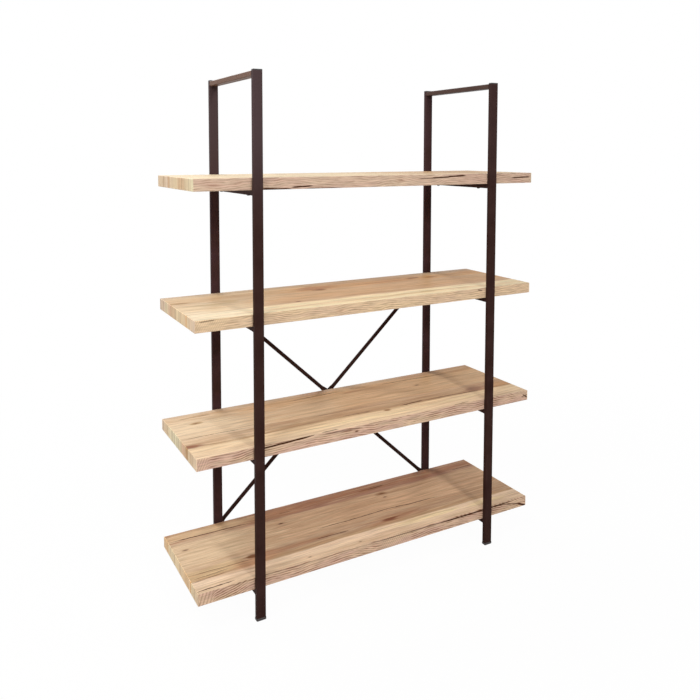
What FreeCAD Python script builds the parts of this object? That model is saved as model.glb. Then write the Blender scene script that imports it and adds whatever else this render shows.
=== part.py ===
import FreeCAD, Part
import math
import os

# Open shelving unit: four boards on two welded side frames of rectangular steel tube,
# stiffened by two crossed round tubes bolted to the rear posts.
# Millimetres. X runs along the boards, +Y points to the rear and +Z up. The origin is on
# the floor, in the middle of the overall width and depth.

# Boards: a core with glued edge bands.
board_length = 1200.0
board_depth = 345.0
board_thickness = 34.0
edge_band = 2.0                  # thickness of the band on the edges and ends
edge_round = 1.4                 # rounding worked along the band's rims
band_joint = 0.1                 # glue joint between an end band and a long band
board_names = ("bottom", "lower", "upper", "top")
bottom_board_top = 122.5         # height of the lowest board's upper face
board_pitch = 382.0              # from one board's upper face to the next

# Side frames: posts, shelf rails and top bars from one rectangular tube.
tube_face = 28.0                 # the tube's wide side, seen from the front
tube_side = 15.0
tube_wall = 1.2
tube_corner = 2.0                # outer corner radius
least_corner = 0.2               # of the inside, where the wall uses up the radius
board_overhang = 168.0           # how far a board runs past the outer face of a post
board_gap = 0.5                  # fitting gap between a board's long edge and a post
post_rise = 297.5                # from the top board's upper face to the top of the caps

# Plastic caps and feet, pushed into the ends of the posts.
cap_thickness = 3.5
cap_bevel = 0.8
foot_height = 8.0
foot_bulge = 1.0                 # how far the foot stands proud of the tube
foot_bevel = 1.8                 # round the sole
plug_length = 16.0
plug_wall = 1.6
plug_gap = 0.4                   # between the plug's core and the tube
plug_ridge = 1.2                 # height of one gripping ridge
plug_ridge_count = 2

# X-brace: two round tubes, pressed flat at the ends and where they cross.
brace_diameter = 13.0
brace_wall = 1.2
brace_low_drop = 24.0            # lower bolts, below the bottom board's upper face
brace_high_drop = 15.5           # upper bolts, below the upper board's upper face
brace_end_flat = 15.0            # flat length from a bolt towards the middle
brace_centre_flat = 14.0         # flat length from the crossing towards each end
brace_press = 22.0               # length over which the round turns into the flat
brace_press_steps = 3
brace_hole = 6.4
brace_shut = 0.97                # share of the pressing at which the bore has closed
brace_corner_angle = 50.0        # where the round section's sides meet its faces
least_bow = 0.0001               # a side of the section that bows less is made straight

# Fasteners, all M6.
thread_diameter = 6.0
head_diameter = 10.5
head_height = 3.3
head_rim = 0.8                   # straight rim under the dome
head_crown = 6.0                 # diameter of the flat on top of the dome
head_bow = 0.45                  # how far the dome bows out between rim and crown
socket_across_flats = 4.0
socket_depth = 2.0
nut_across_flats = 10.0
nut_height = 5.0
nut_bevel = 0.5
hexagon_sides = 6
shelf_screw_inset = 60.0         # from a board's long edge
shelf_screw_length = 28.0
shelf_screw_hole = 6.6           # clearance hole through a rail
insert_diameter = 10.0
insert_length = 13.0
insert_hole_spare = 3.0          # drilled deeper than the insert is long
brace_screw_length = 12.0
rivet_diameter = 9.0
rivet_length = 10.0              # inside the post, measured from its rear face
rivet_flange_diameter = 12.0
rivet_flange = 0.6
rivet_bulge_diameter = 11.4
rivet_bulge = 2.0

# Levels and places that follow from the sizes above.
board_tops = [bottom_board_top + board_pitch * n for n in range(len(board_names))]
overall_height = board_tops[-1] + post_rise
post_bottom = foot_height
post_top = overall_height - cap_thickness
inner_corner = max(tube_corner - tube_wall, least_corner)
post_x = board_length / 2 - board_overhang - tube_face / 2
frame_opening = board_depth + 2 * board_gap
brace_reach = rivet_flange + brace_diameter
board_y = (foot_bulge - brace_reach) / 2
front_post_y = board_y - frame_opening / 2 - tube_side / 2
rear_post_y = board_y + frame_opening / 2 + tube_side / 2
rear_face_y = rear_post_y + tube_side / 2
brace_y = rear_face_y + rivet_flange + brace_diameter / 2
brace_low = board_tops[0] - brace_low_drop
brace_high = board_tops[2] - brace_high_drop
sides = (("left", -1), ("right", 1))
X_AXIS = FreeCAD.Vector(1, 0, 0)
Y_AXIS = FreeCAD.Vector(0, 1, 0)
ORIGIN = FreeCAD.Vector(0, 0, 0)


def box_between(low, high):
    """Box from its lowest to its highest corner."""
    size = [b - a for a, b in zip(low, high)]
    return Part.makeBox(size[0], size[1], size[2], FreeCAD.Vector(*low))


def cylinder(diameter, start, end):
    """Cylinder on the Z axis between two levels."""
    base = FreeCAD.Vector(0, 0, start)
    return Part.makeCylinder(diameter / 2, end - start, base)


def edges_along_z(solid):
    """Straight edges that run parallel to Z."""
    upright = []
    for edge in solid.Edges:
        if abs(edge.tangentAt(edge.FirstParameter).z) > 0.999:
            upright.append(edge)
    return upright


def edges_at_level(solid, level):
    """Edges that lie flat at one level."""
    box = [(edge, edge.BoundBox) for edge in solid.Edges]
    return [edge for edge, bound in box
            if abs(bound.ZMin - level) < 1e-6 and abs(bound.ZMax - level) < 1e-6]


def plain_bar(width, depth, start, end):
    """Upright bar centred on the Z axis."""
    return box_between((-width / 2, -depth / 2, start), (width / 2, depth / 2, end))


def rounded_bar(width, depth, start, end, corner):
    """Upright bar centred on the Z axis, with rounded upright corners."""
    bar = plain_bar(width, depth, start, end)
    return bar.makeFillet(corner, edges_along_z(bar))


def bevelled_bar(width, depth, start, end, corner):
    """Upright bar centred on the Z axis, with bevelled upright corners."""
    bar = plain_bar(width, depth, start, end)
    return bar.makeChamfer(corner, edges_along_z(bar))


def moved(shape, x, y, z):
    """Copy of a shape, shifted."""
    copy = shape.copy()
    copy.translate(FreeCAD.Vector(x, y, z))
    return copy


def turned(shape, axis, degrees):
    """Copy of a shape, turned about an axis through the origin."""
    copy = shape.copy()
    copy.rotate(ORIGIN, axis, degrees)
    return copy


def frame_tube(length):
    """Upright length of the frame's rectangular tube, standing on Z = 0."""
    outer = rounded_bar(tube_face, tube_side, 0, length, tube_corner)
    inner = rounded_bar(tube_face - 2 * tube_wall, tube_side - 2 * tube_wall,
                        0, length, inner_corner)
    return outer.cut(inner)


def cross_tube():
    """Tube that lies front to rear between two posts, centred on the origin."""
    tube = moved(frame_tube(frame_opening), 0, 0, -frame_opening / 2)
    return turned(tube, X_AXIS, -90)


def post(has_brace_holes):
    """Upright post in place in X and Z, centred on Y = 0."""
    tube = moved(frame_tube(post_top - post_bottom), 0, 0, post_bottom)
    if not has_brace_holes:
        return tube
    for level in (brace_low, brace_high):
        drill = turned(cylinder(rivet_diameter, 0, tube_side), X_AXIS, -90)
        tube = tube.cut(moved(drill, 0, 0, level))
    return tube


def shelf_rail():
    """Cross tube with clearance holes for the two screws of a shelf end."""
    rail = cross_tube()
    for y in shelf_screw_places():
        drill = cylinder(shelf_screw_hole, -tube_side, tube_side)
        rail = rail.cut(moved(drill, 0, y, 0))
    return rail


def shelf_screw_places():
    """Y of the two screws in a rail, measured from the board's middle."""
    reach = board_depth / 2 - shelf_screw_inset
    return (-reach, reach)


def board_block():
    """Whole board, rounded along its upper and lower rims, its upper face at Z = 0."""
    half_length = board_length / 2
    half_depth = board_depth / 2
    block = box_between((-half_length, -half_depth, -board_thickness),
                        (half_length, half_depth, 0))
    rims = edges_at_level(block, 0) + edges_at_level(block, -board_thickness)
    return block.makeFillet(edge_round, rims)


def board_core():
    """Board without its bands, with blind holes for the inserts."""
    half_length = board_length / 2 - edge_band
    half_depth = board_depth / 2 - edge_band
    core = box_between((-half_length, -half_depth, -board_thickness),
                       (half_length, half_depth, 0))
    depth = insert_length + insert_hole_spare
    for x in (-post_x, post_x):
        for y in shelf_screw_places():
            hole = cylinder(insert_diameter, 0, depth)
            core = core.cut(moved(hole, x, y, -board_thickness))
    return core


def board_bands():
    """Two long bands that run the whole length and two end bands between them."""
    block = board_block()
    outer_x = board_length / 2
    outer_y = board_depth / 2
    inner_x = outer_x - edge_band
    inner_y = outer_y - edge_band
    end_y = inner_y - band_joint
    bands = []
    for low_y, high_y in ((-outer_y, -inner_y), (inner_y, outer_y)):
        slab = box_between((-outer_x, low_y, -board_thickness), (outer_x, high_y, 0))
        bands.append(block.common(slab))
    for low_x, high_x in ((-outer_x, -inner_x), (inner_x, outer_x)):
        slab = box_between((low_x, -end_y, -board_thickness), (high_x, end_y, 0))
        bands.append(block.common(slab))
    return bands


def plug_stem():
    """Hollow plug below Z = 0, with ridges that grip the inside of the tube."""
    inner_width = tube_face - 2 * tube_wall
    inner_depth = tube_side - 2 * tube_wall
    core_width = inner_width - 2 * plug_gap
    core_depth = inner_depth - 2 * plug_gap
    stem = bevelled_bar(core_width, core_depth, -plug_length, 0, inner_corner)
    spacing = plug_length / (plug_ridge_count + 1)
    for n in range(plug_ridge_count):
        middle = -spacing * (n + 1)
        ridge = bevelled_bar(inner_width, inner_depth, middle - plug_ridge / 2,
                             middle + plug_ridge / 2, inner_corner)
        stem = stem.fuse(ridge)
    hollow = plain_bar(core_width - 2 * plug_wall, core_depth - 2 * plug_wall,
                       -plug_length, 0)
    return stem.cut(hollow)


def post_cap():
    """Flat cap that covers a post's upper end, its plug below Z = 0."""
    lid = rounded_bar(tube_face, tube_side, 0, cap_thickness, tube_corner)
    lid = lid.makeChamfer(cap_bevel, edges_at_level(lid, cap_thickness))
    return lid.fuse(plug_stem()).removeSplitter()


def post_foot():
    """Foot that stands on Z = 0 with its plug pointing up."""
    width = tube_face + 2 * foot_bulge
    depth = tube_side + 2 * foot_bulge
    sole = rounded_bar(width, depth, 0, foot_height, tube_corner + foot_bulge)
    sole = sole.makeChamfer(foot_bulge, edges_at_level(sole, foot_height))
    sole = sole.makeChamfer(foot_bevel, edges_at_level(sole, 0))
    stem = moved(turned(plug_stem(), X_AXIS, 180), 0, 0, foot_height)
    return sole.fuse(stem).removeSplitter()


def tube_section(place, pressed, offset, wall_inset):
    """Wire across a brace tube at one place along X.

    pressed runs from 0, round, to 1, flat. The wall's length round the section stays
    the same, so the tube gets wider as it gets thinner. offset shifts the section in Y.
    """
    flat = 2 * brace_wall
    thick = brace_diameter + (flat - brace_diameter) * pressed
    wide = thick + math.pi * (brace_diameter - thick) / 2
    half_thick = thick / 2 - wall_inset
    half_wide = wide / 2 - wall_inset
    corner_angle = math.radians(brace_corner_angle)
    round_share = 1 - pressed
    corner_wide = (half_wide * math.cos(corner_angle) * round_share
                   + (half_wide - half_thick) * pressed)
    corner_thick = half_thick * (math.sin(corner_angle) * round_share + pressed)

    def point(across, out):
        return FreeCAD.Vector(place, offset + out, across)

    corners = [(corner_wide, corner_thick), (corner_wide, -corner_thick),
               (-corner_wide, -corner_thick), (-corner_wide, corner_thick)]
    middles = [(half_wide, 0), (0, -half_thick), (-half_wide, 0), (0, half_thick)]
    edges = []
    for n, middle in enumerate(middles):
        start = point(*corners[n])
        end = point(*corners[(n + 1) % 4])
        through = point(*middle)
        bow = through.distanceToLine(start, end - start)
        if bow < least_bow:
            edges.append(Part.makeLine(start, end))
        else:
            edges.append(Part.Arc(start, through, end).toShape())
    return Part.Wire(edges)


def press_profile(centre_offset):
    """(place, pressed, offset) of the sections from the crossing to a bolt."""
    end_offset = brace_wall - brace_diameter / 2
    profile = [(0, 1, centre_offset)]
    for n in range(brace_press_steps + 1):
        share = n / brace_press_steps
        pressed = (1 + math.cos(math.pi * share)) / 2
        place = brace_centre_flat + brace_press * share
        profile.append((place, pressed, centre_offset * pressed))
    flat_start = brace_span / 2 - brace_end_flat
    for n in range(brace_press_steps + 1):
        share = n / brace_press_steps
        pressed = (1 - math.cos(math.pi * share)) / 2
        place = flat_start - brace_press * (1 - share)
        profile.append((place, pressed, end_offset * pressed))
    profile.append((brace_span / 2, 1, end_offset))
    return profile


def brace_tube(centre_offset):
    """Brace tube along X with its middle at the origin.

    The end flats lie in line with the tube's front. The middle flat is shifted by
    centre_offset, so that the two tubes pass each other.
    """
    half = press_profile(centre_offset)
    mirrored = [(-place, pressed, offset) for place, pressed, offset in half[:0:-1]]
    sections = [tube_section(*row, 0) for row in mirrored + half]
    tube = Part.makeLoft(sections, True, True)
    open_rows = [row for row in half if row[1] < brace_shut]
    for sign in (-1, 1):
        rows = [(sign * place, pressed, offset) for place, pressed, offset in open_rows]
        tube = tube.cut(Part.makeLoft([tube_section(*row, brace_wall) for row in rows],
                                      True, True))
    flat = 2 * brace_wall
    flat_width = flat + math.pi * (brace_diameter - flat) / 2
    end_middle = brace_wall - brace_diameter / 2
    for x in (-brace_span / 2, brace_span / 2):
        tip = turned(cylinder(flat_width, -flat / 2, flat / 2), X_AXIS, -90)
        tube = tube.fuse(moved(tip, x, end_middle, 0))
    for x in (-brace_span / 2, 0, brace_span / 2):
        drill = cylinder(brace_hole, -brace_diameter, brace_diameter)
        tube = tube.cut(moved(turned(drill, X_AXIS, -90), x, 0, 0))
    return tube


def corner_radius(across_flats):
    """Radius of the circle through a hexagon's corners."""
    return across_flats / 2 / math.cos(math.pi / hexagon_sides)


def hexagon(across_flats, start, end):
    """Six-sided bar on the Z axis."""
    radius = corner_radius(across_flats)
    corners = []
    for n in range(hexagon_sides + 1):
        angle = 2 * math.pi * n / hexagon_sides
        corners.append(FreeCAD.Vector(radius * math.cos(angle), radius * math.sin(angle),
                                      start))
    face = Part.Face(Part.makePolygon(corners))
    return face.extrude(FreeCAD.Vector(0, 0, end - start))


def button_screw(length):
    """Socket button-head screw: head above Z = 0, shank below."""
    foot = FreeCAD.Vector(head_diameter / 2, 0, 0)
    edge = FreeCAD.Vector(head_diameter / 2, 0, head_rim)
    crown = FreeCAD.Vector(head_crown / 2, 0, head_height)
    top = FreeCAD.Vector(0, 0, head_height)
    slope = (crown - edge).normalize()
    outward = FreeCAD.Vector(slope.z, 0, -slope.x)
    shoulder = (edge + crown) * 0.5 + outward * head_bow
    outline = [
        Part.makeLine(ORIGIN, foot),
        Part.makeLine(foot, edge),
        Part.Arc(edge, shoulder, crown).toShape(),
        Part.makeLine(crown, top),
        Part.makeLine(top, ORIGIN),
    ]
    head = Part.Face(Part.Wire(outline)).revolve(ORIGIN, FreeCAD.Vector(0, 0, 1), 360)
    shank = cylinder(thread_diameter, -length, 0)
    socket = hexagon(socket_across_flats, head_height - socket_depth, head_height)
    return head.fuse(shank).cut(socket)


def hex_nut():
    """Nut on the Z axis from 0 up, its corners bevelled."""
    nut = hexagon(nut_across_flats, 0, nut_height)
    limit = cylinder(2 * corner_radius(nut_across_flats), 0, nut_height)
    rims = edges_at_level(limit, 0) + edges_at_level(limit, nut_height)
    limit = limit.makeChamfer(nut_bevel, rims)
    return nut.common(limit).cut(cylinder(thread_diameter, 0, nut_height))


def threaded_insert():
    """Sleeve from Z = 0 up."""
    sleeve = cylinder(insert_diameter, 0, insert_length)
    return sleeve.cut(cylinder(thread_diameter, 0, insert_length))


def rivet_nut():
    """Set rivet nut: flange above Z = 0, body below, bulged behind the tube wall."""
    nut = cylinder(rivet_diameter, -rivet_length, 0)
    nut = nut.fuse(cylinder(rivet_flange_diameter, 0, rivet_flange))
    nut = nut.fuse(cylinder(rivet_bulge_diameter, -tube_wall - rivet_bulge, -tube_wall))
    return nut.cut(cylinder(thread_diameter, -rivet_length, rivet_flange))


def export(name, shapes):
    """Write one node: a single solid, or a group of separate ones."""
    shape = shapes[0] if len(shapes) == 1 else Part.makeCompound(shapes)
    shape.exportStep("parts/" + name + ".step")


os.makedirs("parts", exist_ok=True)

# Boards and their bands.
for name, top in zip(board_names, board_tops):
    export(name + "_shelf_board", [moved(board_core(), 0, board_y, top)])
    export(name + "_shelf_edge_bands",
           [moved(band, 0, board_y, top) for band in board_bands()])

# Side frames: posts with caps and feet, top bar, and one rail under each board.
for side, sign in sides:
    x = sign * post_x
    for row, y in (("front", front_post_y), ("rear", rear_post_y)):
        label = side + "_" + row
        export(label + "_post", [moved(post(row == "rear"), x, y, 0)])
        export(label + "_post_cap", [moved(post_cap(), x, y, post_top)])
        export(label + "_foot", [moved(post_foot(), x, y, 0)])
    export(side + "_top_bar", [moved(cross_tube(), x, board_y, post_top - tube_side / 2)])
    for name, top in zip(board_names, board_tops):
        level = top - board_thickness - tube_side / 2
        export(side + "_" + name + "_shelf_rail", [moved(shelf_rail(), x, board_y, level)])

# Shelf fixings: a screw from below through each rail into an insert in the board.
screws = []
inserts = []
for top in board_tops:
    underside = top - board_thickness
    for x in (-post_x, post_x):
        for y in shelf_screw_places():
            screw = turned(button_screw(shelf_screw_length), X_AXIS, 180)
            screws.append(moved(screw, x, board_y + y, underside - tube_side))
            inserts.append(moved(threaded_insert(), x, board_y + y, underside))
export("shelf_screws", screws)
export("shelf_inserts", inserts)

# Brace tubes, tilted so that their bolts meet the rear posts.
brace_rise = brace_high - brace_low
brace_span = math.hypot(2 * post_x, brace_rise)
brace_tilt = math.degrees(math.atan2(brace_rise, 2 * post_x))
brace_middle = (brace_low + brace_high) / 2
rising_left = turned(brace_tube(-brace_wall), Y_AXIS, brace_tilt)
rising_right = turned(brace_tube(brace_wall), Y_AXIS, -brace_tilt)
export("brace_rising_left", [moved(rising_left, 0, brace_y, brace_middle)])
export("brace_rising_right", [moved(rising_right, 0, brace_y, brace_middle)])

# Brace fixings: rivet nuts in the rear posts, screws from behind, one bolt at the crossing.
flat = 2 * brace_wall
brace_screws = []
rivet_nuts = []
for x in (-post_x, post_x):
    for level in (brace_low, brace_high):
        nut = turned(rivet_nut(), X_AXIS, -90)
        rivet_nuts.append(moved(nut, x, rear_face_y, level))
        screw = turned(button_screw(brace_screw_length), X_AXIS, -90)
        brace_screws.append(moved(screw, x, rear_face_y + rivet_flange + flat, level))
centre_screw = turned(button_screw(brace_screw_length), X_AXIS, -90)
brace_screws.append(moved(centre_screw, 0, brace_y + flat, brace_middle))
export("brace_rivet_nuts", rivet_nuts)
export("brace_screws", brace_screws)
centre_nut = turned(hex_nut(), X_AXIS, 90)
export("brace_centre_nut", [moved(centre_nut, 0, brace_y - flat, brace_middle)])
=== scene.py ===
import math

import bpy
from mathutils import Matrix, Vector


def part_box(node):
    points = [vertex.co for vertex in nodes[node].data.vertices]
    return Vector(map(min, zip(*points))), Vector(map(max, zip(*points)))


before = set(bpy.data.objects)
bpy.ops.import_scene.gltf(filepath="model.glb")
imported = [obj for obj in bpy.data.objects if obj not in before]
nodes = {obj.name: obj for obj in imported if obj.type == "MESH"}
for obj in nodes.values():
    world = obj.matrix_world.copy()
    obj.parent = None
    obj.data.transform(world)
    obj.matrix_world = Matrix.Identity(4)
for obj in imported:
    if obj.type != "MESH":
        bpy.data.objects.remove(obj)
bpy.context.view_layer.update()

# ---------------------------------------------------------------------------------------
# Camera. It stands before the left end of the unit, at the height of a person's chest, and
# looks across it to the right. The lens is shifted, so that the posts stay nearly upright.

eye = (-1.1806, -2.0295, 1.3398)
turned_right = 0.4997
tilted_down = 0.0666
focal_length_mm = 36.99
film_width_mm = 36.0
picture_side = 700
axis_pixel = (335, 200)
nearest_seen = 0.05
farthest_seen = 60.0

camera_data = bpy.data.cameras.new("camera")
camera_data.lens = focal_length_mm
camera_data.sensor_width = film_width_mm
camera_data.shift_x = 0.5 - axis_pixel[0] / picture_side
camera_data.shift_y = axis_pixel[1] / picture_side - 0.5
camera_data.clip_start = nearest_seen
camera_data.clip_end = farthest_seen
camera = bpy.data.objects.new("camera", camera_data)
camera.location = eye
camera.rotation_euler = (math.pi / 2 - tilted_down, 0.0, -turned_right)
bpy.context.scene.collection.objects.link(camera)
bpy.context.scene.camera = camera

# ---------------------------------------------------------------------------------------
# Room. A white painted studio floor that runs out of sight under an even white sky, and
# soft lamps: one high on the left, a small one straight in front that casts the posts'
# shadows along the boards, a weak wide one beside it, and a wide one high behind.

floor_side = 30.0
floor_white = "#f4f3f1"
floor_glow = 0.975
shadow_reach = 2.4
sky_strength = 0.3

bpy.context.scene.view_settings.view_transform = "Standard"


def colour(code):
    """An sRGB hex value as linear red, green, blue and alpha."""
    channels = [int(code[i:i + 2], 16) / 255 for i in (1, 3, 5)]
    linear = [c / 12.92 if c <= 0.04045 else ((c + 0.055) / 1.055) ** 2.4 for c in channels]
    return (*linear, 1.0)


def add(tree, kind, sockets=None, **settings):
    """One shader node with its settings; each socket takes a value, or the output to link."""
    made = tree.nodes.new("ShaderNode" + kind)
    for name, value in settings.items():
        setattr(made, name, value)
    for socket, value in (sockets or {}).items():
        if isinstance(socket, str):
            target = next(s for s in made.inputs if s.name == socket and s.enabled)
        else:
            target = made.inputs[socket]
        if isinstance(value, bpy.types.Node):
            value = next(s for s in value.outputs if s.enabled)
        if isinstance(value, bpy.types.NodeSocket):
            tree.links.new(value, target)
        else:
            target.default_value = value
    return made


def new_material(name):
    """An empty material and its node tree."""
    material = bpy.data.materials.new(name)
    material.use_nodes = True
    material.node_tree.nodes.clear()
    return material, material.node_tree


def seen_straight(tree):
    """1 for what the camera sees directly, in a mirror or through glass, and 0 for light."""
    path = add(tree, "LightPath")
    either = add(tree, "Math", {0: path.outputs["Is Camera Ray"], 1: path.outputs["Is Glossy Ray"]},
                 operation="MAXIMUM")
    return add(tree, "Math", {0: either, 1: path.outputs["Is Transmission Ray"]},
               operation="MAXIMUM")


bpy.ops.object.select_all(action="DESELECT")
bpy.ops.mesh.primitive_plane_add(size=floor_side, location=(0.0, 0.0, 0.0))
floor = bpy.context.object
floor.name = "studio_floor"
floor_paint, tree = new_material("white_painted_floor")
matt = add(tree, "BsdfDiffuse", {"Color": colour(floor_white)})
glow = add(tree, "Emission", {"Color": (1.0, 1.0, 1.0, 1.0), "Strength": 1.0})
spot = add(tree, "TexCoord").outputs["Object"]
far = add(tree, "VectorMath", {0: spot}, operation="LENGTH").outputs["Value"]
whiter = add(tree, "MapRange", {"Value": far, "From Min": shadow_reach / 3, "From Max": shadow_reach,
                                "To Min": floor_glow, "To Max": 1.0})
share = add(tree, "Math", {0: seen_straight(tree), 1: whiter}, operation="MULTIPLY")
mixed = add(tree, "MixShader", {0: share, 1: matt, 2: glow})
add(tree, "OutputMaterial", {"Surface": mixed})
floor.data.materials.append(floor_paint)

sky = bpy.data.worlds.new("white_sky")
bpy.context.scene.world = sky
sky.use_nodes = True
tree = sky.node_tree
tree.nodes.clear()
strength = add(tree, "MapRange", {"Value": seen_straight(tree), "To Min": sky_strength, "To Max": 1.0})
light = add(tree, "Background", {"Color": (1.0, 1.0, 1.0, 1.0), "Strength": strength})
add(tree, "OutputWorld", {"Surface": light})


def softbox(name, place, aim, width, height, watts):
    """A rectangular lamp of that size, turned towards a point."""
    data = bpy.data.lights.new(name, "AREA")
    data.shape = "RECTANGLE"
    data.size = width
    data.size_y = height
    data.energy = watts
    lamp = bpy.data.objects.new(name, data)
    lamp.location = place
    lamp.rotation_euler = (Vector(aim) - Vector(place)).to_track_quat("-Z", "Y").to_euler()
    lamp.visible_camera = False
    bpy.context.scene.collection.objects.link(lamp)


softbox("left_softbox", (-2.05, -0.9, 3.1), (-0.3, 0.0, 0.8), 1.2, 1.2, 42.0)
softbox("front_softbox", (0.15, -3.4, 2.6), (0.1, 0.0, 0.7), 0.4, 0.4, 38.0)
softbox("front_fill", (-0.2, -3.3, 2.4), (0.0, 0.0, 0.7), 1.8, 1.2, 16.0)
softbox("rear_softbox", (-1.0, 3.2, 3.1), (-0.2, 0.0, 0.8), 2.4, 1.4, 78.0)

# ---------------------------------------------------------------------------------------
# Shelf boards. Chipboard, 34 mm thick, faced on both sides with melamine paper printed as
# sawn oak: long planks with knots, drying cracks and dark joints, under a satin seal coat
# that is lightly embossed along the grain. Every board is cut from another place of the roll.

mm_per_metre = 1000.0
board_low, board_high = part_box("top_shelf_edge_bands")
half_depth = mm_per_metre * (board_high.y - board_low.y) / 2
joint_brown = "#40200f"
knot_red = "#9c5f3f"
streak_brown = "#a87c57"
streak_cream = "#f2ddb6"

# The seal coat: smoother and glossier than the pores and cracks, which are pressed in by
# these shares of the embossing's depth, in metres.
seal_ior = 1.5
seal_roughness = 0.46
pore_roughness = 0.6
seal_gloss = 0.05
crack_gloss = 0.01
pore_dent = 0.2
crack_dent = 0.5
emboss_depth = 0.0003

# The grain's swirl round a knot, in knot sizes along and across it, and how hard it is drawn.
swirl_length = 4.5
swirl_width = 1.7
swirl_pull = 0.6

# How far the grain wanders off its line, and how thin a crack runs out, in millimetres.
slow_wander = 8.0
quick_wander = 1.6
hair_line = 0.01

# The length and the width of the print's streaks, in millimetres. Real pores are finer, and
# these are drawn wide enough to show.
broad_streak = (260, 13)
pale_streak = (170, 9)
fibre_streak = (90, 3.2)
pore_streak = (16, 0.9)
slow_bend = (260, 90)
quick_bend = (28, 12)
torn_rim = (70, 9)
torn_line = (14, 9)

# The tones of the printed wood.
oak = {
    "milk": "#f4e7c1", "cream": "#f4dcb3", "blush": "#f3d8bc", "wheat": "#f4d5ac",
    "linen": "#edd2b1", "straw": "#e9cca5", "apricot": "#f3c8a6", "barley": "#ecc494",
    "amber": "#f0b470", "sand": "#e0c2a2", "rose": "#d6bca2", "pink": "#d9b5a0",
    "dusk": "#d0af9b", "honey": "#deb991", "tan": "#d8af84", "caramel": "#dcad7b",
    "drift": "#cfab8a", "taupe": "#be9f84", "ash": "#bea692", "brown": "#b69370",
    "toffee": "#b8834d", "umber": "#aa7f6a", "russet": "#a57357",
}

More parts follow.
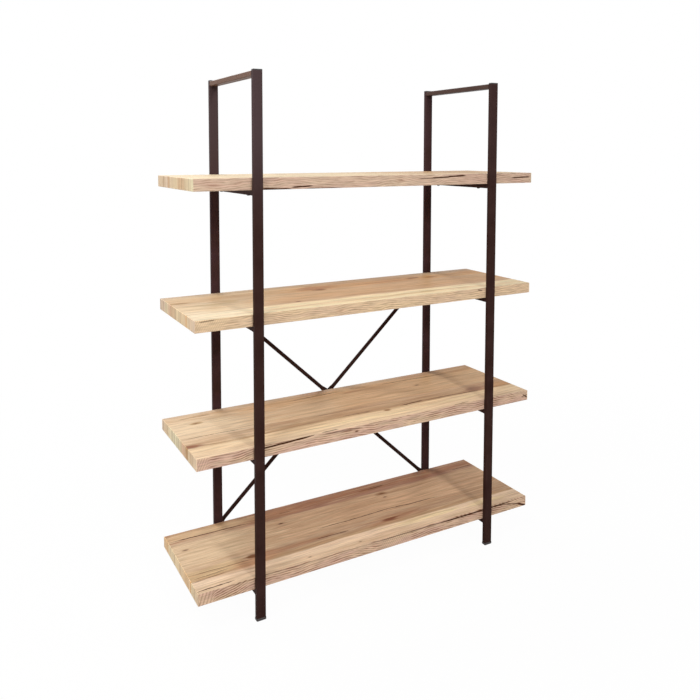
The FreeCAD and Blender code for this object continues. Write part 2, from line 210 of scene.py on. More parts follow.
# A plank is (y, the tone there). A stain, under the fine grain, and a spot, over it, are
# (x, y, half its length, half its width, colour, how strong). A dark line is (from x, to x,
# y at its start, y at its end, half its width, how dark). A knot is (x, y, size, how red
# round it, how dark its heart). All are in millimetres from the middle of the board.
# The pale stains at the left ends of the boards are partly print and partly painted light.
board_print = {
    "top": {
        "seed": 3.1,
        "planks": ((-172, "linen"), (-96, "straw"), (-88, "honey"), (40, "honey"),
                   (110, "tan"), (172, "tan")),
        # The first stain, pale over the left end, is partly print and partly painted light.
        "stains": ((-350, 20, 560, 260, "#fae5c0", 0.9), (150, 90, 240, 26, "#bd8a62", 0.2),
                   (420, -20, 150, 30, "#b98d66", 0.5), (-100, -120, 300, 14, "#f6e2b8", 0.6)),
        "spots": (),
        "lines": ((-600, -300, 62, 60, 2.3, 0.8), (-180, 330, -88, -84, 2.1, 0.7),
                  (240, 600, 96, 92, 2.3, 0.8)),
        "knots": ((-250, 40, 12, 0.5, 0.6), (180, -60, 9, 0.4, 0.8), (420, 70, 10, 0.6, 0.5)),
    },
    "upper": {
        "seed": 11.7,
        "planks": ((-172, "milk"), (-134, "cream"), (-128, "wheat"), (-120, "milk"),
                   (-90, "cream"), (-83, "drift"), (-30, "tan"), (50, "honey"),
                   # The greyer ash tone at the rear is partly print and partly painted sheen.
                   (70, "caramel"), (108, "caramel"), (122, "barley"), (172, "ash")),
        # The first two stains, pale at the left end, are partly print and partly painted light.
        "stains": ((-540, -40, 210, 90, "#ead7b4", 0.65), (-560, -130, 180, 60, "#f4e6cc", 0.55),
                   (-490, 6, 110, 9, "#b79b70", 0.7), (-105, 92, 75, 34, "#c0875b", 0.95),
                   (170, 84, 120, 14, "#c38a60", 0.7), (150, 128, 260, 18, "#b4896a", 0.55),
                   (120, -130, 190, 9, "#c9ae80", 0.75), (0, -102, 420, 9, "#f8e4bd", 0.6),
                   # The greyish stains at the rear, near both ends, are partly print and partly painted
                   # sheen.
                   (60, -62, 160, 14, "#b88e62", 0.45), (-460, 95, 260, 120, "#c0ae92", 0.5),
                   (530, 150, 110, 40, "#ab8e78", 0.4)),
        "spots": ((-580, 66, 40, 12, "#a88559", 0.75), (-425, 32, 30, 22, "#b89a6e", 0.55),
                  (-100, 62, 26, 11, "#a37449", 0.95), (295, 100, 34, 12, "#a5754d", 0.95),
                  (365, 88, 34, 12, "#ad8058", 0.75), (-80, -131, 40, 6, "#cdb387", 0.6),
                  (545, 110, 40, 30, "#c28f62", 0.5)),
        "lines": ((-590, -540, 66, 66, 3.2, 0.45), (270, 330, 94, 106, 4.2, 0.45)),
        "knots": ((-243, -74, 6, 0.3, 0.8), (-100, 62, 9, 0.3, 0.4)),
    },
    "lower": {
        "seed": 23.9,
        "planks": ((-172, "linen"), (-98, "straw"), (-88, "brown"), (-30, "drift"),
                   (-18, "honey"), (60, "honey"), (124, "tan"), (134, "tan"), (172, "rose")),
        # The first stain, pale at the left end, is partly print and partly painted light.
        "stains": ((-520, 30, 240, 130, "#efdcbe", 0.6), (-520, -52, 110, 26, "#c79b74", 0.3),
                   (-90, -60, 280, 24, "#b38a63", 0.2), (470, -70, 80, 28, "#a97b61", 0.7),
                   (560, -70, 50, 30, "#c9935f", 0.5), (-80, 160, 60, 16, "#b08572", 0.5),
                   (360, 155, 120, 20, "#b98a6b", 0.5), (170, 25, 130, 7, "#b48c65", 0.45),
                   (-120, -36, 160, 10, "#b59069", 0.5), (-50, -128, 300, 14, "#f5e0b4", 0.5),
                   (340, -125, 100, 10, "#f3dcae", 0.5), (540, 148, 110, 40, "#b5865e", 0.5),
                   (-175, 20, 130, 80, "#f1d9b8", 0.35)),
        "spots": ((-520, 84, 22, 8, "#a58457", 0.75), (-590, -80, 34, 13, "#8f5f45", 0.95),
                  (448, -66, 36, 18, "#8f6550", 0.6), (50, 108, 40, 8, "#b48560", 0.6),
                  (62, -101, 16, 8, "#94663f", 0.95)),
        "lines": ((-600, -388, -22, -22, 2.3, 0.9), (-100, 20, -82, -84, 4.2, 0.55),
                  (120, 225, -88, -79, 5.3, 0.85), (205, 480, -79, -88, 3.6, 0.75),
                  (-570, -445, 132, 139, 2.7, 0.65), (-185, 20, 126, 131, 4.2, 0.7),
                  (50, 130, 137, 132, 3.2, 0.55), (150, 490, 131, 120, 4.0, 0.65),
                  (-215, -150, -168, -166, 4.7, 0.7), (275, 350, -168, -164, 3.8, 0.65),
                  (-200, 60, -38, -40, 2.1, 0.35)),
        "knots": ((-520, 84, 5, 0.3, 0.5), (291, 60, 6, 0.3, 0.8)),
    },
    "bottom": {
        "seed": 37.3,
        "planks": ((-172, "sand"), (-113, "blush"), (-106, "brown"), (-70, "taupe"),
                   (-20, "drift"), (96, "drift"), (106, "umber"), (140, "russet"),
                   (172, "umber")),
        # The first two stains, pale at the left end, and the pale one at the left rear below, are
        # partly print and partly painted light.
        "stains": ((-510, 40, 240, 100, "#e6ceac", 0.65), (-540, -80, 150, 26, "#d9bb90", 0.75),
                   (-410, -95, 60, 30, "#b97c5b", 0.45), (-350, -75, 70, 20, "#b27a58", 0.5),
                   (-250, -72, 150, 9, "#a9775a", 0.6), (100, -74, 120, 22, "#a56e50", 0.65),
                   (150, 138, 60, 10, "#875338", 0.9), (-250, 135, 120, 26, "#b1805f", 0.6),
                   (-490, 146, 200, 26, "#dcbb94", 0.85), (260, 80, 90, 8, "#ab8262", 0.6),
                   (400, -60, 220, 30, "#b08765", 0.45), (200, -125, 160, 14, "#f2ddab", 0.6),
                   (450, -132, 90, 16, "#f0d9a6", 0.6), (330, 15, 330, 60, "#f1c7a2", 0.25),
                   (-165, -5, 110, 34, "#f3d2b0", 0.3)),
        "spots": ((-396, -66, 22, 12, "#6f4527", 0.95), (88, -78, 34, 10, "#7c4a33", 0.95),
                  (160, 86, 24, 8, "#8d6645", 0.75)),
        "lines": ((-610, -310, 128, 121, 3.0, 0.95), (-225, -170, 129, 127, 3.2, 0.45),
                  (-175, 170, -17, -20, 2.5, 0.95), (70, 335, -17, -29, 2.5, 0.9),
                  (-600, -380, -76, -82, 2.1, 0.7), (-190, -60, -74, -76, 4.2, 0.7),
                  (-600, -470, -98, -90, 1.9, 0.7), (-600, -490, -111, -104, 1.9, 0.65),
                  (-610, -480, -161, -157, 3.2, 0.95), (130, 205, 134, 141, 4.2, 0.7),
                  (490, 610, 119, 116, 4.2, 0.65)),
        "knots": ((-242, 68, 6, 0.3, 0.9), (160, 86, 7, 0.3, 0.5), (157, 59, 5, 0.3, 0.7),
                  (-564, 63, 7, 0.3, 0.6), (-245, -152, 4, 0.2, 0.6), (-68, -151, 4, 0.2, 0.6)),
    },
}


def board_place(tree, board):
    """Millimetres from the middle of the board's upper face."""
    low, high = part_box(f"{board}_shelf_board")
    middle = ((low.x + high.x) / 2, (low.y + high.y) / 2, high.z)
    here = add(tree, "TexCoord").outputs["Object"]
    from_middle = add(tree, "VectorMath", {0: here, 1: middle}, operation="SUBTRACT")
    return add(tree, "VectorMath", {0: from_middle, "Scale": mm_per_metre}, operation="SCALE")


def streaks(tree, place, along, across, seed, detail=2.0):
    """Cloudy streaks from 0 to 1 that run with the grain, of that length and width."""
    shrunk = add(tree, "VectorMath", {0: place, 1: (1 / along, 1 / across, 1 / across)},
                 operation="MULTIPLY")
    moved = add(tree, "VectorMath", {0: shrunk, 1: (seed, 2 * seed, 3 * seed)}, operation="ADD")
    return add(tree, "TexNoise", {"Vector": moved, "Scale": 1.0, "Detail": detail,
                                  "Roughness": 0.55}).outputs[0]


def grown_round_knots(tree, place, across, knots):
    """The grain pushed aside by each knot, how red the wood is round them, and their hearts."""
    halo = heart = 0.0
    for x, y, size, redness, darkness in knots:
        off = add(tree, "VectorMath", {0: place, 1: (x, y, 0.0)}, operation="SUBTRACT")
        swirl = (1 / (swirl_length * size), 1 / (swirl_width * size), 0.0)
        shaped = add(tree, "VectorMath", {0: off, 1: swirl}, operation="MULTIPLY")
        distance = add(tree, "VectorMath", {0: shaped}, operation="LENGTH").outputs["Value"]
        pull = add(tree, "MapRange", {"Value": distance, "From Max": 1.0, "To Min": 1.0,
                                      "To Max": 0.0}, interpolation_type="SMOOTHSTEP")
        side = add(tree, "Math", {0: across, 1: y}, operation="SUBTRACT")
        squeeze = add(tree, "Math", {0: pull, 1: -swirl_pull}, operation="MULTIPLY")
        across = add(tree, "Math", {0: side, 1: squeeze, 2: across}, operation="MULTIPLY_ADD")
        red = add(tree, "Math", {0: pull, 1: redness}, operation="MULTIPLY")
        halo = add(tree, "Math", {0: red, 1: halo}, operation="MAXIMUM")
        core = add(tree, "MapRange", {"Value": distance, "From Min": 0.15, "From Max": 0.45,
                                      "To Min": darkness, "To Max": 0.0},
                   interpolation_type="SMOOTHSTEP")
        heart = add(tree, "Math", {0: core, 1: heart}, operation="MAXIMUM")
    return across, halo, heart


def dark_lines(tree, along, across, ragged, lines, darkest):
    """Joints between planks and drying cracks: thin lines that thin out at both ends."""
    for start, end, y_start, y_end, half_width, darkness in lines:
        middle, half_length = (start + end) / 2, (end - start) / 2
        course = add(tree, "MapRange", {"Value": along, "From Min": start, "From Max": end,
                                        "To Min": y_start, "To Max": y_end})
        offset = add(tree, "Math", {0: across, 1: course}, operation="SUBTRACT")
        distance = add(tree, "Math", {0: offset}, operation="ABSOLUTE")
        run = add(tree, "Math", {0: along, 1: middle}, operation="SUBTRACT")
        reach = add(tree, "Math", {0: run}, operation="ABSOLUTE")
        taper = add(tree, "MapRange", {"Value": reach, "From Min": 0.55 * half_length,
                                       "From Max": half_length, "To Min": half_width,
                                       "To Max": hair_line}, interpolation_type="SMOOTHSTEP")
        width = add(tree, "Math", {0: taper, 1: ragged}, operation="MULTIPLY")
        share = add(tree, "Math", {0: distance, 1: width}, operation="DIVIDE")
        line = add(tree, "MapRange", {"Value": share, "From Min": 0.35, "From Max": 1.0,
                                      "To Min": darkness, "To Max": 0.0},
                   interpolation_type="SMOOTHSTEP")
        darkest = add(tree, "Math", {0: line, 1: darkest}, operation="MAXIMUM")
    return darkest


def soft_stains(tree, place, tone, seed, stains):
    """Long patches of another tone with ragged, faded rims."""
    rim = add(tree, "MapRange", {"Value": streaks(tree, place, *torn_rim, seed + 30, 3.0),
                                 "From Min": 0.3, "From Max": 0.7, "To Min": 0.6, "To Max": 1.2})
    for x, y, half_length, half_width, code, share in stains:
        off = add(tree, "VectorMath", {0: place, 1: (x, y, 0.0)}, operation="SUBTRACT")
        shaped = add(tree, "VectorMath", {0: off, 1: (1 / half_length, 1 / half_width, 0.0)},
                     operation="MULTIPLY")
        distance = add(tree, "VectorMath", {0: shaped}, operation="LENGTH").outputs["Value"]
        torn = add(tree, "Math", {0: distance, 1: rim}, operation="MULTIPLY")
        cover = add(tree, "MapRange", {"Value": torn, "From Min": 0.45, "From Max": 1.15,
                                       "To Min": share, "To Max": 0.0},
                    interpolation_type="SMOOTHSTEP")
        tone = add(tree, "Mix", {"Factor": cover, "A": tone, "B": colour(code)}, data_type="RGBA")
    return tone


def sealed_print(tree, tone, pores, dark):
    """The satin seal coat over the print, pressed in along pores, joints and cracks."""
    rough = add(tree, "MapRange", {"Value": pores, "To Min": seal_roughness,
                                   "To Max": pore_roughness})
    at_pores = add(tree, "Math", {0: pores, 1: pore_dent}, operation="MULTIPLY")
    at_cracks = add(tree, "Math", {0: dark, 1: crack_dent}, operation="MULTIPLY")
    dent = add(tree, "Math", {0: at_pores, 1: at_cracks}, operation="MAXIMUM")
    relief = add(tree, "Bump", {"Height": dent, "Strength": 0.4, "Distance": emboss_depth},
                 invert=True)
    shine = add(tree, "MapRange", {"Value": dark, "To Min": seal_gloss, "To Max": crack_gloss})
    surface = add(tree, "BsdfPrincipled", {"Base Color": tone, "Roughness": rough,
                                           "Normal": relief, "IOR": seal_ior,
                                           "Specular IOR Level": shine})
    add(tree, "OutputMaterial", {"Surface": surface})


def oak_tone(tree, place, across, planks, seed, stains=()):
    """The colour of the planks at a distance across the board, with stains and streaks."""
    spot = add(tree, "MapRange", {"Value": across, "From Min": -half_depth, "From Max": half_depth})
    ramp = add(tree, "ValToRGB", {0: spot})
    stops = ramp.color_ramp.elements
    while len(stops) < len(planks):
        stops.new(0.5)
    for stop, (y, wood) in zip(stops, planks):
        stop.position = (y + half_depth) / (2 * half_depth)
        stop.color = colour(oak[wood])
    grain_place = add(tree, "SeparateXYZ", {0: place})
    follow = add(tree, "CombineXYZ", {0: grain_place.outputs[0], 1: across,
                                      2: grain_place.outputs[2]})
    tone = soft_stains(tree, follow, ramp.outputs["Color"], seed, stains)
    broad = add(tree, "MapRange", {"Value": streaks(tree, follow, *broad_streak, seed),
                                   "From Min": 0.45, "From Max": 0.75, "To Max": 0.5})
    tone = add(tree, "Mix", {"Factor": broad, "A": tone, "B": colour(streak_brown)}, data_type="RGBA")
    pale = add(tree, "MapRange", {"Value": streaks(tree, follow, *pale_streak, seed + 4),
                                  "From Min": 0.48, "From Max": 0.75, "To Max": 0.3})
    tone = add(tree, "Mix", {"Factor": pale, "A": tone, "B": colour(streak_cream)}, data_type="RGBA")
    fibre = add(tree, "MapRange", {"Value": streaks(tree, follow, *fibre_streak, seed + 8, 4.0),
                                   "From Min": 0.3, "From Max": 0.7, "To Min": 0.73, "To Max": 1.19},
                clamp=False)
    shade = add(tree, "CombineXYZ", {0: fibre, 1: fibre, 2: fibre})
    tone = add(tree, "Mix", {"Factor": 1.0, "A": tone, "B": shade},
               data_type="RGBA", blend_type="MULTIPLY")
    pores = add(tree, "MapRange", {"Value": streaks(tree, follow, *pore_streak, seed + 12),
                                   "From Min": 0.6, "From Max": 0.72})
    weak_pores = add(tree, "Math", {0: pores, 1: 0.3}, operation="MULTIPLY")
    tone = add(tree, "Mix", {"Factor": weak_pores, "A": tone, "B": colour(streak_brown)},
               data_type="RGBA")
    return tone, pores


def wandering(tree, place, across, seed, slow_mm, quick_mm):
    """The distance across the board, bent by the grain's slow and quick wander."""
    slow = add(tree, "MapRange", {"Value": streaks(tree, place, *slow_bend, seed),
                                  "To Min": -slow_mm, "To Max": slow_mm})
    quick = add(tree, "MapRange", {"Value": streaks(tree, place, *quick_bend, seed + 2),
                                   "To Min": -quick_mm, "To Max": quick_mm})
    bent = add(tree, "Math", {0: across, 1: slow}, operation="ADD")
    return add(tree, "Math", {0: bent, 1: quick}, operation="ADD")


def printed_oak(board):
    """Melamine paper printed as oak planks, for the two faces of one board."""
    look = board_print[board]
    material, tree = new_material(f"{board}_board_oak_melamine")
    place = board_place(tree, board)
    axes = add(tree, "SeparateXYZ", {0: place})
    along, across = axes.outputs[0], axes.outputs[1]
    bent = wandering(tree, place, across, look["seed"], slow_wander, quick_wander)
    grown, halo, heart = grown_round_knots(tree, place, bent, look["knots"])
    tone, pores = oak_tone(tree, place, grown, look["planks"], look["seed"], look["stains"])
    tone = soft_stains(tree, place, tone, look["seed"] + 5, look["spots"])
    tone = add(tree, "Mix", {"Factor": halo, "A": tone, "B": colour(knot_red)}, data_type="RGBA")
    ragged = add(tree, "MapRange", {"Value": streaks(tree, place, *torn_line, look["seed"] + 1),
                                    "From Min": 0.3, "From Max": 0.7, "To Min": 0.5,
                                    "To Max": 1.3})
    dark = dark_lines(tree, along, bent, ragged, look["lines"], heart)
    tone = add(tree, "Mix", {"Factor": dark, "A": tone, "B": colour(joint_brown)}, data_type="RGBA")
    sealed_print(tree, tone, pores, dark)
    return material


for board in board_print:
    nodes[f"{board}_shelf_board"].material_slots[0].material = printed_oak(board)

# ---------------------------------------------------------------------------------------
# Edge bands. Strips of the same melamine, 2 mm thick, glued round each board and trimmed
# flush with a small rounding. On the long edges the print is cut across the rings, so it
# shows fine arcs and slanting hatches; on the ends it repeats the colours of the planks.

board_half_length = mm_per_metre * (board_high.x - board_low.x) / 2
board_thickness = mm_per_metre * (board_high.z - board_low.z)
band_thickness = 2.0
arc_brown = "#8a5a42"

# The rings, in millimetres: how far apart they are, how far they rise along a millimetre of
# edge, how far the arcs swell, and how far a millimetre of the board's depth moves them on.
ring_spacing = 6.8
ring_slant = 0.03
arc_rise = 85.0
front_to_rear = 0.02

# How far the grain and the cracks wander off their lines, in millimetres.
grain_slow_wander = 4.0
grain_quick_wander = 2.4
crack_slow_wander = 1.2
crack_quick_wander = 0.3

# The length and the width of the print's patches and streaks, in millimetres.
arc_bend = (190, 190)
arc_patch = (48, 14)
blotch_size = (170, 22)
edge_fibre = (44, 4.2)
torn_crack = (30, 6)

# The long edges have a main tone with blotches of another, and arcs of that strength. A slant
# is (from x, to x, how far the arcs rise over it). A hatch is (from x, to x, spacing, how far
# it leans over the board's thickness, strength). The ends are (y, the tone there), from front
# to rear. Dark lines and knots are as on the boards, but with the height over the board's
# upper face for y. All in millimetres.
edge_print = {
    "top": {
        "main": "dusk", "blotches": "rose",
        "arcs": 0.5,
        "slants": ((-600, -560, -6),),
        "hatches": (),
        "ends": ((-172, "milk"), (-96, "straw"), (-60, "honey"), (-30, "straw"),
                 (-20, "cream"), (44, "linen"), (60, "tan"), (70, "blush"), (108, "sand"),
                 (112, "brown"), (118, "linen"), (172, "linen")),
        "lines": ((-410, -300, -31, -35, 5.0, 1.0), (-315, -238, -29, -26, 3.1, 1.0),
                  (-280, -150, -34, -34, 3.6, 0.75), (120, 215, -13, -10, 2.4, 0.7),
                  (170, 262, -11, -8, 3.2, 1.0), (235, 320, -8, -4, 3.4, 1.0),
                  (505, 600, -16, -13, 3.4, 0.95)),
        "knots": ((-540, -18, 9, 0.1, 0.0), (-470, -14, 8, 0.1, 0.0), (60, -16, 6, 0.3, 0.2)),
    },
    "upper": {
        "main": "sand", "blotches": "straw",
        "arcs": 0.5,
        "slants": ((-600, -530, -22), (60, 120, 8), (380, 480, 20)),
        "hatches": ((-700, -500, 6.5, 20, 0.3), (520, 680, 6.5, 20, 0.3)),
        "ends": ((-172, "blush"), (-104, "straw"), (-98, "amber"), (-90, "wheat"),
                 (0, "cream"), (6, "wheat"), (54, "honey"), (56, "apricot"), (114, "milk"),
                 (118, "blush"), (172, "rose")),
        "lines": ((-590, -540, -5, -3, 2.2, 0.65), (370, 392, -4, -9, 2.8, 0.75)),
        "knots": ((-150, -18, 6, 0.2, 0.1),),
    },
    "lower": {
        "main": "pink", "blotches": "sand",
        "arcs": 0.9,
        "slants": ((-600, -560, -14), (60, 120, 8), (500, 600, 40)),
        "hatches": ((-640, -560, 7.5, 16, 0.35), (530, 670, 7.0, 20, 0.3)),
        "ends": ((-172, "linen"), (-100, "straw"), (-90, "toffee"), (-80, "toffee"),
                 (-74, "honey"), (-46, "apricot"), (-40, "straw"), (0, "milk"),
                 (60, "milk"), (124, "straw"), (172, "blush")),
        "lines": ((-440, -225, -9, 1, 3.8, 1.0), (-215, -70, -3, -8, 3.4, 0.5),
                  (578, 602, -12, -26, 4.0, 0.9), (570, 600, -20, -14, 2.8, 0.65)),
        "knots": ((-95, -16, 4, 0.4, 0.8),),
    },
    "bottom": {
        "main": "pink", "blotches": "sand",
        "arcs": 0.95,
        "slants": ((-600, -550, -42), (-550, -450, -30), (240, 450, 45), (480, 600, 48)),
        "hatches": ((-655, -545, 10.5, 12, 0.42), (-10, 110, 8.5, 24, 0.35)),
        "ends": ((-172, "sand"), (-112, "cream"), (-104, "amber"), (-96, "wheat"),
                 (-60, "barley"), (-20, "wheat"), (60, "cream"), (110, "cream"),
                 (128, "barley"), (172, "barley")),
        "lines": ((-600, 20, -2, -2, 2.0, 0.4), (-60, 290, -3, -4, 2.6, 0.7),
                  (200, 560, -5, -4, 3.8, 1.0), (430, 540, -3, -12, 2.4, 0.6),
                  (505, 580, -9, -22, 3.0, 0.8), (560, 606, -19, -36, 4.2, 1.0)),
        "knots": (),
    },
}


def rings(tree, course, spacing):
    """A wave from -1 to 1 with one crest for each ring, where course counts millimetres."""
    turn = add(tree, "Math", {0: course, 1: 2 * math.pi / spacing}, operation="MULTIPLY")
    return add(tree, "Math", {0: turn}, operation="SINE")


def printed_edge(board):
    """Melamine edge band: arcs along the long edges, the planks' colours across the ends."""
    look, seed = edge_print[board], board_print[board]["seed"]
    material, tree = new_material(f"{board}_board_oak_edge_band")
    place = board_place(tree, board)
    axes = add(tree, "SeparateXYZ", {0: place})
    x, y, z = axes.outputs

    front_side = add(tree, "Math", {0: y, 1: -1.0}, operation="MULTIPLY")
    direction = add(tree, "Math", {0: front_side}, operation="SIGN")
    along = add(tree, "Math", {0: x, 1: direction}, operation="MULTIPLY")
    strip = add(tree, "CombineXYZ", {0: along, 1: z, 2: y})
    bent = wandering(tree, strip, z, seed + 50, grain_slow_wander, grain_quick_wander)
    grown, halo, heart = grown_round_knots(tree, strip, bent, look["knots"])

    one_way = add(tree, "VectorMath", {0: strip, 1: (1.0, 0.0, front_to_rear)},
                  operation="MULTIPLY")
    slope = streaks(tree, one_way, *arc_bend, seed + 60, 1.0)
    arc = add(tree, "Math", {0: slope, 1: arc_rise, 2: grown}, operation="MULTIPLY_ADD")
    slanted = add(tree, "Math", {0: along, 1: ring_slant, 2: arc}, operation="MULTIPLY_ADD")
    for start, end, rise in look["slants"]:
        steeper = add(tree, "MapRange", {"Value": along, "From Min": start, "From Max": end,
                                         "To Max": rise})
        slanted = add(tree, "Math", {0: slanted, 1: steeper}, operation="ADD")
    patch = add(tree, "MapRange", {"Value": streaks(tree, strip, *arc_patch, seed + 70),
                                   "From Min": 0.35, "From Max": 0.65, "To Min": 0.1,
                                   "To Max": look["arcs"]})
    crest = add(tree, "MapRange", {"Value": rings(tree, slanted, ring_spacing),
                                   "From Min": -0.4, "From Max": 0.9})
    arcs = add(tree, "Math", {0: crest, 1: patch}, operation="MULTIPLY")
    for start, end, spacing, lean, strength in look["hatches"]:
        off = add(tree, "Math", {0: along, 1: (start + end) / 2}, operation="SUBTRACT")
        reach = add(tree, "Math", {0: off}, operation="ABSOLUTE")
        inside = add(tree, "MapRange", {"Value": reach, "From Min": 0.3 * (end - start),
                                        "From Max": 0.5 * (end - start), "To Min": 1.0,
                                        "To Max": 0.0})
        upright = add(tree, "Math", {0: bent, 1: -lean / board_thickness, 2: along},
                      operation="MULTIPLY_ADD")
        stroke = add(tree, "MapRange", {"Value": rings(tree, upright, spacing),
                                        "From Min": -0.2, "From Max": 0.9, "To Max": strength})
        arcs = add(tree, "Mix", {"Factor": inside, "A": arcs, "B": stroke}, data_type="FLOAT")

    blotch = add(tree, "MapRange", {"Value": streaks(tree, strip, *blotch_size, seed + 80),
                                    "From Min": 0.35, "From Max": 0.65})
    tone = add(tree, "Mix", {"Factor": blotch, "A": colour(oak[look["main"]]),
                             "B": colour(oak[look["blotches"]])}, data_type="RGBA")
    tone = add(tree, "Mix", {"Factor": arcs, "A": tone, "B": colour(arc_brown)}, data_type="RGBA")
    fibre = add(tree, "MapRange", {"Value": streaks(tree, strip, *edge_fibre, seed + 90, 3.0),
                                   "From Min": 0.3, "From Max": 0.7, "To Min": 0.78, "To Max": 1.18},
                clamp=False)
    shade = add(tree, "CombineXYZ", {0: fibre, 1: fibre, 2: fibre})
    tone = add(tree, "Mix", {"Factor": 1.0, "A": tone, "B": shade},
               data_type="RGBA", blend_type="MULTIPLY")
    tone = add(tree, "Mix", {"Factor": halo, "A": tone, "B": colour(knot_red)}, data_type="RGBA")
    ragged = add(tree, "MapRange", {"Value": streaks(tree, strip, *torn_crack, seed + 1),
                                    "From Min": 0.3, "From Max": 0.7, "To Min": 0.85, "To Max": 1.1})
    course = wandering(tree, strip, z, seed + 40, crack_slow_wander, crack_quick_wander)
    dark = dark_lines(tree, along, course, ragged, look["lines"], heart)
    tone = add(tree, "Mix", {"Factor": dark, "A": tone, "B": colour(joint_brown)}, data_type="RGBA")

    end_place = add(tree, "CombineXYZ", {0: z, 1: y, 2: x})
    end_tone, end_pores = oak_tone(tree, end_place, y, look["ends"], seed + 20)
    from_middle = add(tree, "Math", {0: x}, operation="ABSOLUTE")
    on_end = add(tree, "Math", {0: from_middle, 1: board_half_length - band_thickness},
                 operation="GREATER_THAN")
    tone = add(tree, "Mix", {"Factor": on_end, "A": tone, "B": end_tone}, data_type="RGBA")
    long_pores = add(tree, "Math", {0: patch, 1: 0.5}, operation="MULTIPLY")
    pores = add(tree, "Mix", {"Factor": on_end, "A": long_pores, "B": end_pores},
                data_type="FLOAT")
    off_end = add(tree, "Math", {0: 1.0, 1: on_end}, operation="SUBTRACT")
    dark = add(tree, "Math", {0: dark, 1: off_end}, operation="MULTIPLY")
    sealed_print(tree, tone, pores, dark)
    return material


for board in edge_print:
    nodes[f"{board}_shelf_edge_bands"].material_slots[0].material = printed_edge(board)

# ---------------------------------------------------------------------------------------
# Frames and brace. Mild steel tube, welded, then powder-coated dark brown and baked: a dull
# satin skin with a very fine orange peel, and a painted highlight high up on the left. The rear
# posts are painted a shade paler all over, as painted light, and the top bars are glossier,
# with a stronger painted highlight.

coat_brown = "#33201c"
# The rear posts' tone, painted a shade paler as light.
coat_rear_painted_light = "#463033"
coat_thin = "#3d2925"
# The posts' painted highlight, high up on the left.
post_painted_highlight = "#4b3c3d"
# The top bars' stronger painted highlight, high up on the left.
bar_painted_highlight = "#6b4d3d"
post_gloss = 0.015
bar_gloss = 0.09
# The heights, in metres, over which the painted highlight comes in.
highlight_from_height = 1.1
highlight_at_height = 1.42
frame_half_width = (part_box("right_front_post")[1].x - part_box("left_front_post")[0].x) / 2
coat_roughness = 0.4
rough_clouds = 0.5
peel_mm = 1.6
peel_depth = 0.0002
cloud_mm = 60.0


def powder_coat(name, base, pale, gloss):
    """Baked powder coat on steel: its base tone, and a painted highlight high up on the left."""
    material, tree = new_material(name)
    here = add(tree, "TexCoord").outputs["Object"]
    cloud = add(tree, "TexNoise", {"Vector": here, "Scale": mm_per_metre / cloud_mm,
                                   "Detail": 3.0}).outputs[0]
    share = add(tree, "MapRange", {"Value": cloud, "From Min": 0.3, "From Max": 0.7})
    tone = add(tree, "Mix", {"Factor": share, "A": colour(base), "B": colour(coat_thin)},
               data_type="RGBA")
    axes = add(tree, "SeparateXYZ", {0: here})
    # Painted highlight: high up and towards the left, the tone is mixed towards the pale one.
    high = add(tree, "MapRange", {"Value": axes.outputs[2], "From Min": highlight_from_height,
                                  "From Max": highlight_at_height}, interpolation_type="SMOOTHSTEP")
    left = add(tree, "MapRange", {"Value": axes.outputs[0], "From Min": -frame_half_width,
                                  "From Max": frame_half_width, "To Min": 1.0, "To Max": 0.2})
    painted_highlight_share = add(tree, "Math", {0: high, 1: left}, operation="MULTIPLY")
    tone = add(tree, "Mix", {"Factor": painted_highlight_share, "A": tone, "B": colour(pale)}, data_type="RGBA")
    peel = add(tree, "TexNoise", {"Vector": here, "Scale": mm_per_metre / peel_mm,
                                  "Detail": 1.0}).outputs[0]
    relief = add(tree, "Bump", {"Height": peel, "Strength": 0.25, "Distance": peel_depth})
    rough = add(tree, "MapRange", {"Value": cloud, "To Min": coat_roughness,
                                   "To Max": rough_clouds})
    surface = add(tree, "BsdfPrincipled", {"Base Color": tone, "Roughness": rough,
                                           "Specular IOR Level": gloss, "Normal": relief})
    add(tree, "OutputMaterial", {"Surface": surface})
    return material


tube_coat = powder_coat("brown_powder_coated_steel", coat_brown, post_painted_highlight, post_gloss)
# A copy of the coat for the rear posts, painted paler as light.
rear_painted_light_coat = powder_coat("rear_brown_powder_coated_steel_painted_light", coat_rear_painted_light, post_painted_highlight, post_gloss)
# The top bars' coat: glossier, with the stronger painted highlight.
bar_painted_highlight_coat = powder_coat("glossy_brown_powder_coated_steel_painted_highlight", coat_brown, bar_painted_highlight, bar_gloss)
for name, node in nodes.items():
    if name.endswith("_rear_post"):
        node.material_slots[0].material = rear_painted_light_coat
    elif name.endswith(("_front_post", "_rail")) or name.startswith("brace_rising"):
        node.material_slots[0].material = tube_coat
    elif name.endswith("_bar"):
        node.material_slots[0].material = bar_painted_highlight_coat

# ---------------------------------------------------------------------------------------
# Caps and feet. Injection-moulded polyethylene pressed into the tube ends: near black on
# top, dark brown at the floor, with the dull fine grain of a spark-eroded mould.

cap_black = "#171414"
foot_brown = "#241a18"
worn_grey = "#6a6360"
moulded_roughness = 0.55
polyethylene_ior = 1.51

# The real grain is too fine to show, so it is drawn this coarse.
mould_grain_mm = 0.8
mould_grain_depth = 0.0002


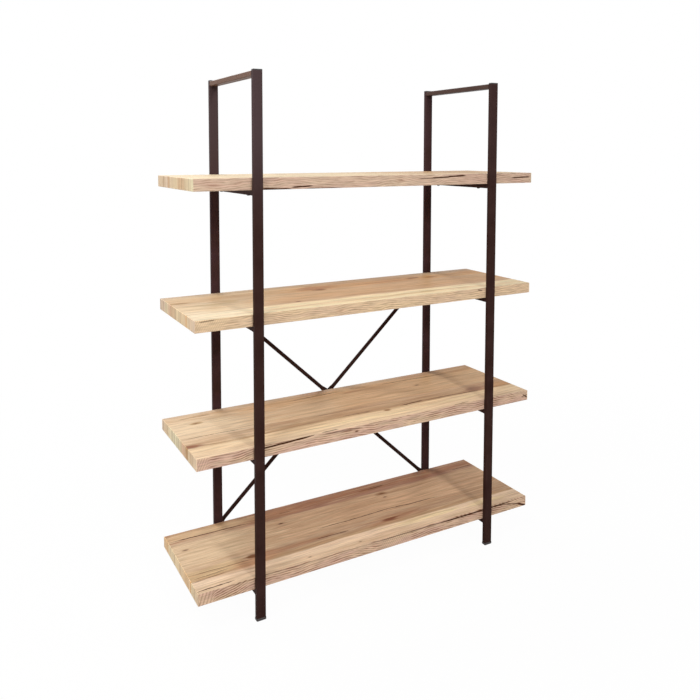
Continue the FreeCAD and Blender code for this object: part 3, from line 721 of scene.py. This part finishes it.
def moulded_plastic(name, code):
    """Soft polyethylene as it leaves a grained mould: dull, with a fine even texture."""
    material, tree = new_material(name)
    here = add(tree, "TexCoord").outputs["Object"]
    grain = add(tree, "TexNoise", {"Vector": here, "Scale": mm_per_metre / mould_grain_mm,
                                   "Detail": 2.0}).outputs[0]
    share = add(tree, "MapRange", {"Value": grain, "From Min": 0.35, "From Max": 0.65,
                                   "To Max": 0.12})
    tone = add(tree, "Mix", {"Factor": share, "A": colour(code), "B": colour(worn_grey)},
               data_type="RGBA")
    relief = add(tree, "Bump", {"Height": grain, "Strength": 0.4,
                                "Distance": mould_grain_depth})
    surface = add(tree, "BsdfPrincipled", {"Base Color": tone, "Roughness": moulded_roughness,
                                           "IOR": polyethylene_ior, "Normal": relief})
    add(tree, "OutputMaterial", {"Surface": surface})
    return material


cap_plastic = moulded_plastic("black_moulded_polyethylene", cap_black)
foot_plastic = moulded_plastic("brown_moulded_polyethylene", foot_brown)
for name, node in nodes.items():
    if name.endswith("_cap"):
        node.material_slots[0].material = cap_plastic
    if name.endswith("_foot"):
        node.material_slots[0].material = foot_plastic

# ---------------------------------------------------------------------------------------
# Fixings. The screws and the nut are cold-headed steel, blackened and oiled. The rivet nuts
# and inserts are zinc-plated: bright grey with a faint yellow and dull clouds.

black_oxide = "#1c1a1a"
black_oxide_dull = "#262321"
black_oxide_roughness = 0.38
zinc_grey = "#b9b9b2"
zinc_dull = "#8f918e"
zinc_roughness = 0.3
dull_spread = 0.15
plating_cloud_mm = 6.0


def metal_skin(name, bright, dull, roughness):
    """A plated or blackened steel skin with small dull clouds."""
    material, tree = new_material(name)
    here = add(tree, "TexCoord").outputs["Object"]
    cloud = add(tree, "TexNoise", {"Vector": here, "Scale": mm_per_metre / plating_cloud_mm,
                                   "Detail": 4.0}).outputs[0]
    share = add(tree, "MapRange", {"Value": cloud, "From Min": 0.35, "From Max": 0.65})
    tone = add(tree, "Mix", {"Factor": share, "A": colour(bright), "B": colour(dull)}, data_type="RGBA")
    rough = add(tree, "MapRange", {"Value": cloud, "To Min": roughness,
                                   "To Max": roughness + dull_spread})
    surface = add(tree, "BsdfPrincipled", {"Base Color": tone, "Metallic": 1.0,
                                           "Roughness": rough})
    add(tree, "OutputMaterial", {"Surface": surface})
    return material


blackened = metal_skin("black_oxide_steel", black_oxide, black_oxide_dull,
                       black_oxide_roughness)
zinc_plated = metal_skin("zinc_plated_steel", zinc_grey, zinc_dull, zinc_roughness)
for name in ("shelf_screws", "brace_screws", "brace_centre_nut"):
    nodes[name].material_slots[0].material = blackened
for name in ("shelf_inserts", "brace_rivet_nuts"):
    nodes[name].material_slots[0].material = zinc_plated
